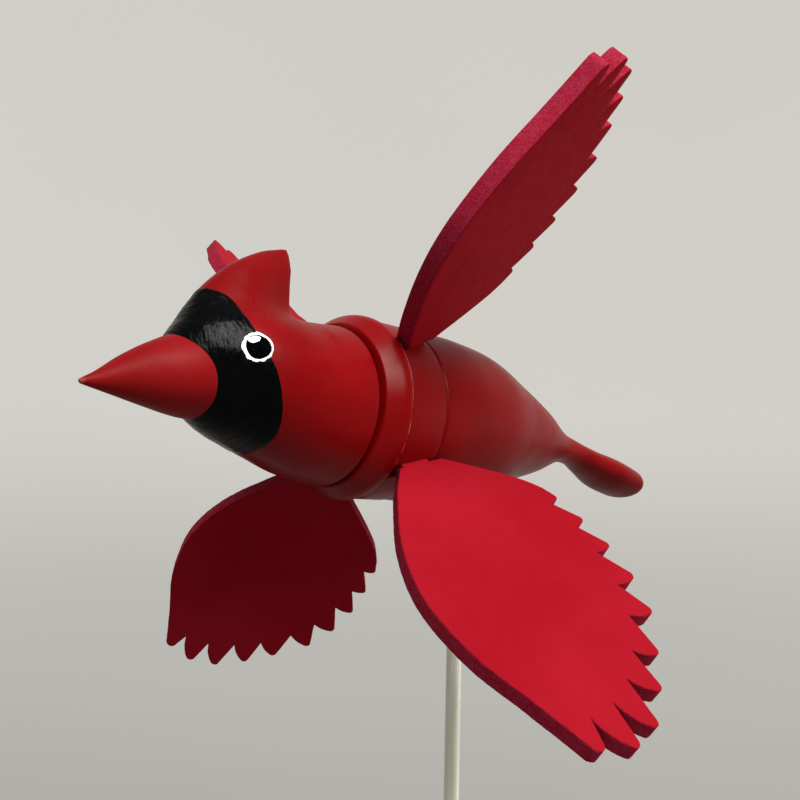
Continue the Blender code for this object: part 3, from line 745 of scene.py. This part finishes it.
def soften_crest(head):
    """Runs the crest's foot into the head's sides, away from its ridge, as if sanded."""
    form = bmesh.new()
    form.from_mesh(head.data)
    foot = []
    for vert in form.verts:
        x, _, z = (vert.co - O) / MM
        if not SOFTEN_FROM < x < SOFTEN_TO or z < SOFTEN_ABOVE:
            continue
        height, _ = crest_at(min(x, CREST_STATIONS[-1][0]))
        ridge = hermite(HEAD_STATIONS, max(x, -66.0))[0] + SOFTEN_SHARE * height
        if z < ridge or x > CREST_STATIONS[-1][0] + CREST_LEAN * SOFTEN_LIFT:
            foot.append(vert)
    for _ in range(SOFTEN_PASSES):
        bmesh.ops.smooth_vert(form, verts=foot, factor=0.5, use_axis_x=True, use_axis_y=True,
                              use_axis_z=True)
    form.to_mesh(head.data)
    form.free()
    head.data.set_sharp_from_angle(angle=math.radians(40))


def make_beak():
    """A carved cone whose back is hollowed to the head's front."""
    rings = []
    for x in steps_between(BEAK_STATIONS[0][0], BEAK_STATIONS[-1][0], 90):
        rings.append(section(x, *hermite(BEAK_STATIONS, x)))
    middle = sum(hermite(BEAK_STATIONS, BEAK_STATIONS[-1][0])[:2]) / 2
    beak = add_object("beak_wood", *skin(rings, front=(BEAK_TIP[0], 0, BEAK_TIP[1]),
                                         rear=(BEAK_STATIONS[-1][0], 0, middle)))
    wobble(beak, 0.10, 9, 8)
    neck = (HEAD_REAR, 0, 0)
    seat = add_object("beak_seat", *skin(head_rings(GAP, False), front=head_pole(GAP), rear=neck))
    cut(beak, [seat])
    return beak


def surface_tree(obj):
    form = bmesh.new()
    form.from_mesh(obj.data)
    tree = BVHTree.FromBMesh(form)
    form.free()
    return tree


MASK_ALONG = 84
MASK_FILM = 0.16
MASK_BURIED = 0.35


def make_mask(head_tree):
    """The black face as a film of paint with brush ridges, closed underneath."""
    around = 2 * BODY_AROUND
    outer, inner = [], []
    xs = steps_between(MASK_FRONT, -38.0, 60)
    sections = []
    for x in xs:
        height, foot = crest_at(x)
        sections.append(crested_section(x, *hermite(HEAD_STATIONS, x), height, foot))
    columns = []
    for k in range(around):
        i, part = divmod(k, 2)
        column = []
        for ring in sections:
            a = Vector(ring[i])
            b = Vector(ring[(i + 1) % BODY_AROUND])
            column.append(a.lerp(b, part / 2))
        columns.append(column)
    for k, column in enumerate(columns):
        edge = len(column) - 1.0
        for i in range(1, len(column)):
            here = hermite(MASK_EDGE, max(-18.9, min(27.9, column[i].z)))[0] - column[i].x
            before = (hermite(MASK_EDGE, max(-18.9, min(27.9, column[i - 1].z)))[0]
                      - column[i - 1].x)
            if here <= 0 < before:
                edge = i - 1 + before / (before - here)
                break
        ragged = 0.22 * noise.noise(Vector((k * 0.13, 1.7, 4.2)))
        ragged += 0.10 * noise.noise(Vector((k * 0.55, 7.7, 1.2)))
        edge = max(4.0, min(len(column) - 1.01, edge + ragged / 0.45))
        line = []
        for j in range(MASK_ALONG + 1):
            t = edge * j / MASK_ALONG
            i = min(int(t), len(column) - 2)
            line.append(column[i].lerp(column[i + 1], t - i))
        outer_line, inner_line = [], []
        for j, point in enumerate(line):
            world = O + point * MM
            place, normal, _, _ = head_tree.find_nearest(world)
            rim = min(smooth_step(j / 4), smooth_step((MASK_ALONG - j) / 3))
            grain = Vector((point.x * 1.9, point.y * 0.42, point.z * 0.42))
            ridge = noise.noise(grain) * 0.6 + noise.noise(grain * 2.3) * 0.4
            thick = MASK_FILM * (1 + 0.75 * ridge) * rim - 0.02
            outer_line.append((place + normal * thick * MM - O) / MM)
            inner_line.append((place - normal * MASK_BURIED * MM - O) / MM)
        outer.append(outer_line)
        inner.append(inner_line)
    rows = MASK_ALONG + 1
    verts = [p for line in outer for p in line] + [p for line in inner for p in line]
    total = around * rows
    faces = []
    for k in range(around):
        a, b = k * rows, ((k + 1) % around) * rows
        for j in range(MASK_ALONG):
            faces.append((a + j, a + j + 1, b + j + 1, b + j))
            faces.append((total + a + j, total + b + j, total + b + j + 1, total + a + j + 1))
        for j in (0, MASK_ALONG):
            faces.append((a + j, b + j, total + b + j, total + a + j))
    return add_object("mask_paint", verts, faces, angle=60)


def paint_spot(name, tree, centre, size, rise, side, seed, tilt=0.0, ragged=0.05):
    """A domed dab of paint that lies on the head: centre in mm from O, side -1 or 1."""
    middle = O + Vector((centre[0], centre[1] * side, centre[2])) * MM
    place, normal, _, _ = tree.find_nearest(middle)
    along = (Vector((1, 0, 0)) - normal * normal.x).normalized()
    up = normal.cross(along) * (1 if normal.cross(along).z > 0 else -1)
    around, rows = 96, 22
    top, under = [], []
    for r in range(1, rows + 1):
        share = r / rows
        for i in range(around):
            a = 2 * math.pi * i / around
            edge = 1 + ragged * noise.noise(Vector((math.cos(a) * 1.6, math.sin(a) * 1.6, seed)))
            edge += ragged * 0.5 * noise.noise(Vector((math.cos(a) * 5, math.sin(a) * 5, seed)))
            u = size[0] * share * edge * math.cos(a)
            v = size[1] * share * edge * math.sin(a)
            c, s = math.cos(tilt), math.sin(tilt)
            start = place + (along * (c * u - s * v) + up * (s * u + c * v)) * MM
            hit, _, _, _ = tree.ray_cast(start + normal * 6 * MM, -normal)
            hit = hit or start
            dome = rise * (1 - share**8) + 0.02 * noise.noise(Vector((u, v, seed)) * 1.3)
            top.append((hit + normal * (dome if r < rows else -0.02) * MM - O) / MM)
            under.append((hit - normal * 0.3 * MM - O) / MM)
    hit, _, _, _ = tree.ray_cast(place + normal * 6 * MM, -normal)
    rings_top = [top[i * around:(i + 1) * around] for i in range(rows)]
    rings_under = [under[i * around:(i + 1) * around] for i in range(rows)]
    rings = rings_top + rings_under[::-1]
    peak = (hit + normal * rise * MM - O) / MM
    base = (hit - normal * 0.3 * MM - O) / MM
    return add_object(name, *skin(rings, front=peak, rear=base), angle=70)


# ------------------------------------------------------------------ rotor shapes
def wing_matrix(angle, pitch, rake, aft):
    """Takes a wing's length, width and thickness (local X, Y, Z) to its place on the rotor."""
    upright = Matrix(((0, 1, 0, 0), (0, 0, 1, 0), (1, 0, 0, 0), (0, 0, 0, 1)))
    return (AT_O @ Matrix.Rotation(math.radians(angle), 4, "X")
            @ Matrix.Rotation(math.radians(rake), 4, "Y")
            @ Matrix.Rotation(math.radians(-pitch), 4, "Z") @ upright
            @ Matrix.Translation((0, aft * MM, 0)))


def make_collar():
    bore = BOSS_RADIUS + GAP
    corners = [(COLLAR_FRONT, bore, 0), (COLLAR_FRONT, COLLAR_NOSE_RADIUS, 0.8),
               (COLLAR_SHOULDER, COLLAR_RADIUS, 5.0), (COLLAR_REAR, COLLAR_RADIUS, 1.0),
               (COLLAR_REAR, bore, 0)]
    collar = turned_object("collar_wood", rounded(corners, 12), 240)
    merge_seam(collar)
    wobble(collar, 0.05, 12, 11)
    return collar


def make_hub():
    """The hub's band, with a slot for each wing's tab."""
    corners = [(BOSS_FRONT, BOSS_RADIUS, 0.5), (BAND_FRONT, BOSS_RADIUS, 0),
               (BAND_FRONT, BAND_RADIUS, 0.4), (BAND_REAR, BAND_RADIUS, 0.8),
               (BAND_REAR, HUB_BORE, 0), (BOSS_FRONT, HUB_BORE, 0)]
    hub = turned_object("hub_wood", rounded(corners, 8), 240)
    merge_seam(hub)
    wobble(hub, 0.05, 14, 12)
    slots = []
    low = (SLOT_FLOOR - GAP, SLOT_FRONT, -WING_THICKNESS / 2 - SLOT_CLEAR)
    high = (SLOT_TOP, TAB_REAR + GAP, WING_THICKNESS / 2 + SLOT_CLEAR)
    for name, _, angle, pitch, rake, aft, _ in WINGS:
        corners = [(x, y, z) for x in (low[0], high[0]) for y in (low[1], high[1])
                   for z in (low[2], high[2])]
        faces = [(0, 1, 3, 2), (4, 6, 7, 5), (0, 4, 5, 1), (2, 3, 7, 6), (0, 2, 6, 4),
                 (1, 5, 7, 3)]
        slots.append(add_object("slot_" + name, corners, faces,
                                matrix=wing_matrix(angle, pitch, rake, aft)))
    cut(hub, slots)
    return hub


def feather(start, tip, end):
    """One feather's outline from the notch start, round its tip, to just before the notch end."""
    mid = ((start[0] + tip[0]) / 2, (start[1] + tip[1]) / 2)
    side = (tip[1] - start[1], start[0] - tip[0])
    pull = (mid[0] + side[0] * 2 * FEATHER_FULLNESS, mid[1] + side[1] * 2 * FEATHER_FULLNESS)
    line = []
    for i in range(8):
        t = i / 9
        line.append(tuple((1 - t) ** 2 * a + 2 * t * (1 - t) * b + t * t * c
                          for a, b, c in zip(start, pull, tip)))
    return line + round_corner(line[-1], tip, end, FEATHER_ROUND, 8)


def wing_outline(length):
    points = [(SLOT_FLOOR, TAB_REAR), (SLOT_FLOOR, TAB_FRONT), (WING_ROOT, TAB_FRONT)]
    points += smooth_path(LEADING_EDGE, 14)
    notches = FEATHER_NOTCHES
    points += round_corner(LEADING_EDGE[-1], FEATHER_TIPS[0], notches[0], FEATHER_ROUND, 8)
    for start, tip, end in zip(notches, FEATHER_TIPS[1:-1], notches[1:]):
        points += feather(start, tip, end)
    points += feather(notches[-1], FEATHER_TIPS[-1], TRAILING_ROOT[0])
    points += smooth_path(TRAILING_ROOT, 10)
    points.append((WING_ROOT, TAB_REAR))
    return [(min(u, WING_ROOT) + max(u - WING_ROOT, 0) * length, v) for u, v in points]


EDGE_STEP = 0.75
FACE_STEP = 2.0
FACE_MARGIN = 1.3            # between the rim and the face's own points
# Across the cut edge: (share of half the thickness, distance the outline is drawn in, mm).
EDGE_ROWS = [(1.0, 0.34), (0.985, 0.15), (0.94, 0.04), (0.86, 0.0), (0.62, 0.0), (0.38, 0.0),
             (0.13, 0.0), (-0.13, 0.0), (-0.38, 0.0), (-0.62, 0.0), (-0.86, 0.0),
             (-0.94, 0.04), (-0.985, 0.15), (-1.0, 0.34)]


def even_outline(points):
    """The same outline with points no further apart than EDGE_STEP and none doubled."""
    made = []
    for a, b in zip(points, points[1:] + points[:1]):
        far = math.dist(a, b)
        if far < 0.02:
            continue
        count = max(1, math.ceil(far / EDGE_STEP))
        made += [(a[0] + (b[0] - a[0]) * i / count, a[1] + (b[1] - a[1]) * i / count)
                 for i in range(count)]
    return made


def inside_outline(point, outline):
    x, y = point
    inside = False
    for (ax, ay), (bx, by) in zip(outline, outline[1:] + outline[:1]):
        if (ay > y) != (by > y) and x < ax + (y - ay) * (bx - ax) / (by - ay):
            inside = not inside
    return inside


def make_wing(name, angle, pitch, rake, aft, length, seed):
    """A plate cut from sheet foam: slightly wavy faces, rounded rims and a granular cut edge."""
    outline = even_outline(wing_outline(length))
    area = sum(a[0] * b[1] - b[0] * a[1] for a, b in zip(outline, outline[1:] + outline[:1]))
    if area < 0:
        outline.reverse()
    count = len(outline)
    outward = []
    for i in range(count):
        a, b, c = (Vector(outline[k % count]) for k in (i - 1, i, i + 1))
        first, second = (b - a).normalized(), (c - b).normalized()
        normal = Vector((first.y + second.y, -first.x - second.x))
        normal = normal.normalized() if normal.length > 1e-6 else Vector((first.y, -first.x))
        outward.append(normal)
    half = WING_THICKNESS / 2

    def wave(u, v):
        return 0.16 * noise.noise(Vector((u / 26, v / 26, seed * 3.7)))

    rings = []
    for share, drawn_in in EDGE_ROWS:
        ring = []
        for (u, v), normal in zip(outline, outward):
            z = share * half
            deep = 1 - min(drawn_in / 0.34, 1)
            place = Vector((u * 0.95, v * 0.95, z * 1.1 + seed * 9.1))
            grain = 0.09 * noise.noise(place) + 0.06 * noise.noise(place * 2.2)
            grain += 0.10 * noise.noise(Vector((u / 7, v / 7, seed * 1.3)))
            shift = grain * deep - drawn_in
            ring.append((u + normal.x * shift, v + normal.y * shift, z + wave(u, v)))
        rings.append(ring)
    verts, faces = skin(rings)
    edge_faces = len(faces)
    rim = [point[:2] for point in rings[0]]
    margin = [(u - n.x * FACE_MARGIN, v - n.y * FACE_MARGIN) for (u, v), n in zip(outline, outward)]
    low_u, high_u = min(u for u, v in rim), max(u for u, v in rim)
    low_v, high_v = min(v for u, v in rim), max(v for u, v in rim)
    inner = []
    row = 0
    v = low_v
    while v < high_v:
        u = low_u + (row % 2) * FACE_STEP / 2
        while u < high_u:
            if inside_outline((u, v), margin):
                inner.append((u, v))
            u += FACE_STEP
        v += FACE_STEP * 0.866
        row += 1
    flat = [Vector(p) for p in rim + inner]
    made, _, triangles, sources, _, _ = delaunay_2d_cdt(flat, [], [list(range(count))], 1, 1e-7)
    last_ring = (len(EDGE_ROWS) - 1) * count
    for side, ring_start in ((1, 0), (-1, last_ring)):
        index = {}
        for k, found in enumerate(sources):
            source = found[0] if found else None
            if source is not None and source < count:
                index[k] = ring_start + source
            else:
                u, v = made[k]
                index[k] = len(verts)
                verts.append((u, v, side * half + wave(u, v)))
        faces += [tuple(index[k] for k in triangle) for triangle in triangles]
    wing = add_object(name, verts, faces, angle=35, matrix=wing_matrix(angle, pitch, rake, aft))
    rim_rows = 2 * count
    for polygon in wing.data.polygons:
        k = polygon.index
        cut_edge = k < edge_faces and rim_rows <= k < edge_faces - rim_rows
        polygon.material_index = 1 if cut_edge else 0
    return wing


def make_rod():
    """The glass-fibre rod, very slightly out of round, with chamfered ends."""
    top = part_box("rod")[1].z / MM
    rings = []
    outline = [(0.0, ROD_RADIUS - 0.3), (0.3, ROD_RADIUS)]
    outline += [(z, ROD_RADIUS) for z in steps_between(1.0, top - 1.0, 200)]
    outline += [(top - 0.3, ROD_RADIUS), (top, ROD_RADIUS - 0.3)]
    for z, radius in outline:
        ring = []
        for i in range(56):
            a = 2 * math.pi * i / 56
            r = radius - 0.03 + 0.025 * noise.noise(Vector((math.cos(a) * 3, math.sin(a) * 3,
                                                            z / 40)))
            ring.append((r * math.cos(a), r * math.sin(a), z))
        rings.append(ring)
    return add_object("rod_fibreglass", *skin(rings, front=(0, 0, 0), rear=(0, 0, top)),
                      matrix=Matrix.Identity(4))


# ------------------------------------------------------------------ assembly
paint_body = enamel("paint_red_body", REAR_RED, REAR_DEEP, chips=26).material
paint_head = brushed_head()
paint_rotor = collar_with_painted_rim_highlight()
paint_band = enamel("paint_red_band", BODY_RED, BODY_DEEP, 0.2).material
foam, cells = foam_skin(), foam_cells()

finish_piece(make_rod(), "stake", "fibreglass_rod", "rod", fibreglass())
finish_piece(make_rear_body(), "bird", "red_body", "rear_body", paint_body)
head_piece = make_head()
head_tree = surface_tree(head_piece)
finish_piece(head_piece, "bird", "red_head", "head", paint_head)
finish_piece(make_beak(), "bird", "red_beak", "beak", worn_beak())
finish_piece(make_mask(head_tree), "bird", "red_head", None, mask_black())

eye_white = eye_paint("paint_eye_white", (0.80, 0.79, 0.77), (0.60, 0.59, 0.57), (0.30, 0.45))
eye_black = eye_paint("paint_eye_black", (0.0006, 0.0006, 0.0008), (0.0016, 0.0016, 0.002),
                      (0.30, 0.36), 0.0, 0.0)
for side, word in ((-1, "near"), (1, "far")):
    ring = paint_spot(f"eye_white_{word}", head_tree, EYE_CENTRE, (EYE_RADIUS, EYE_RADIUS * 1.03),
                      0.26, side, 2.5)
    pupil = paint_spot(f"eye_pupil_{word}", head_tree, PUPIL_CENTRE,
                       (PUPIL_RADIUS, PUPIL_RADIUS), 0.40, side, 8.5)
    glint = paint_spot(f"eye_glint_{word}", head_tree, GLINT_CENTRE, GLINT_SIZE, 0.50, side, 4.1,
                       tilt=0.28, ragged=0.16)
    finish_piece(ring, "bird", "red_head", None, eye_white)
    finish_piece(pupil, "bird", "red_head", None, eye_black)
    finish_piece(glint, "bird", "red_head", None, eye_white)

finish_piece(make_collar(), "rotor", "red_rotor", "rotor_collar", paint_rotor)
finish_piece(make_hub(), "rotor", "red_rotor", "rotor_hub", paint_band)
for number, (name, node, *place) in enumerate(WINGS, 1):
    finish_piece(make_wing(name, *place, number), "rotor", "red_foam", node, foam, cells)

# The hardware inside keeps its CAD shape and takes better finishes.
HARDWARE = {
    "steel": metal("steel_bright", (0.60, 0.60, 0.62), (0.46, 0.46, 0.48), (0.22, 0.36), 900),
    "brass": metal("brass_turned", (0.74, 0.53, 0.23), (0.58, 0.38, 0.15), (0.24, 0.40), 1100),
    "nylon": nylon(),
}
HARDWARE_NODES = {
    "steel": ("pivot_ball", "axle", "front_lock_nut", "rear_jam_nut"),
    "brass": ("pivot_sleeve", "front_bush", "rear_bush", "head_insert", "rear_insert"),
    "nylon": ("front_washer", "rear_washer"),
}
for finish, names in HARDWARE_NODES.items():
    for name in names:
        for material_slot in frame["nodes"][name].material_slots:
            material_slot.material = HARDWARE[finish]


# ------------------------------------------------------------------ studio
STUDIO_FLAT = 1.5            # radius of the flat floor, m
STUDIO_BEND = 1.1            # radius of the sweep up to the wall
STUDIO_TOP = 3.6
VIEW_ALONG = Vector((0.71076, 0.69063, 0.0)).normalized()


def studio_finish():
    """A pale seamless sweep that glows a little, brighter behind the bird than in front."""
    s = Shader("studio_sweep", Specular_IOR_Level=0.0, Roughness=1.0)
    base = s.blend(s.ramp(s.noise(1.2, 2, 0.5), 0.3, 0.7), (0.120, 0.118, 0.112),
                   (0.112, 0.110, 0.104))
    s.colour(base)
    ahead = s.node("ShaderNodeVectorMath", operation="DOT_PRODUCT")
    s.plug(s.place, ahead.inputs[0])
    ahead.inputs[1].default_value = VIEW_ALONG
    behind = s.ramp(ahead.outputs["Value"], -1.2, 1.8, 0.13, 0.53)
    height = s.ramp(s.axis(2), 0.0, 0.75, 0.70, 1.0)
    glow = s.maths("MULTIPLY", behind, height)
    tone = s.blend(s.ramp(s.noise(0.7, 1, 0.5), 0.4, 0.6), (1.0, 0.978, 0.905),
                   (1.0, 0.985, 0.930))
    s.plug(tone, s.shader.inputs["Emission Color"])
    s.plug(glow, s.shader.inputs["Emission Strength"])
    return s.material


def make_studio():
    outline = [(0.0, r) for r in (0.25, 0.6, 1.0, STUDIO_FLAT)]
    for i in range(1, 25):
        a = math.pi / 2 * i / 24
        outline.append((STUDIO_BEND * (1 - math.cos(a)), STUDIO_FLAT + STUDIO_BEND * math.sin(a)))
    outline.append((STUDIO_TOP, STUDIO_FLAT + STUDIO_BEND))
    rings = turned_rings([(z * 1000, r * 1000) for z, r in outline], 96, "z")
    sweep = add_object("studio_sweep", *skin(rings, front=(0, 0, 0)), angle=60,
                       matrix=Matrix.Identity(4))
    sweep.data.materials.append(studio_finish())


def softbox(name, place, aim, size, power, colour=(1.0, 0.98, 0.95), gloss=True):
    light = bpy.data.lights.new(name, "AREA")
    light.shape = "RECTANGLE"
    light.size, light.size_y = size
    light.energy = power
    light.color = colour
    obj = bpy.data.objects.new(name, light)
    obj.location = place
    obj.rotation_mode = "QUATERNION"
    obj.rotation_quaternion = (Vector(aim) - Vector(place)).to_track_quat("-Z", "Y")
    obj.visible_camera = False
    obj.visible_glossy = gloss
    bpy.context.scene.collection.objects.link(obj)


make_studio()
softbox("key_front", O + Vector((-0.66, -1.42, 1.52)), O, (1.3, 1.3), 110)
softbox("fill_right", O + Vector((1.42, -0.98, -0.12)), O, (0.9, 0.9), 18, gloss=False)

world = bpy.data.worlds.new("studio_air")
world.use_nodes = True
world.node_tree.nodes["Background"].inputs["Color"].default_value = (0.95, 0.96, 1.0, 1.0)
world.node_tree.nodes["Background"].inputs["Strength"].default_value = 0.35
bpy.context.scene.world = world
bpy.context.scene.view_settings.view_transform = "Standard"

camera = bpy.data.cameras.new("camera")
camera.lens = 38.72
camera.sensor_width = 36.0
camera.clip_start, camera.clip_end = 0.01, 30.0
camera_object = bpy.data.objects.new("camera", camera)
right = Vector((0.69394, -0.71950, 0.02759))
up = Vector((-0.11519, -0.07311, 0.99065))
forward = Vector((0.71076, 0.69063, 0.13361))
camera_object.matrix_world = (Matrix.Translation(O + Vector((-0.17750, -0.19107, -0.03204)))
                              @ Matrix((right, up, -forward)).transposed().to_4x4())
bpy.context.scene.collection.objects.link(camera_object)
bpy.context.scene.camera = camera_object
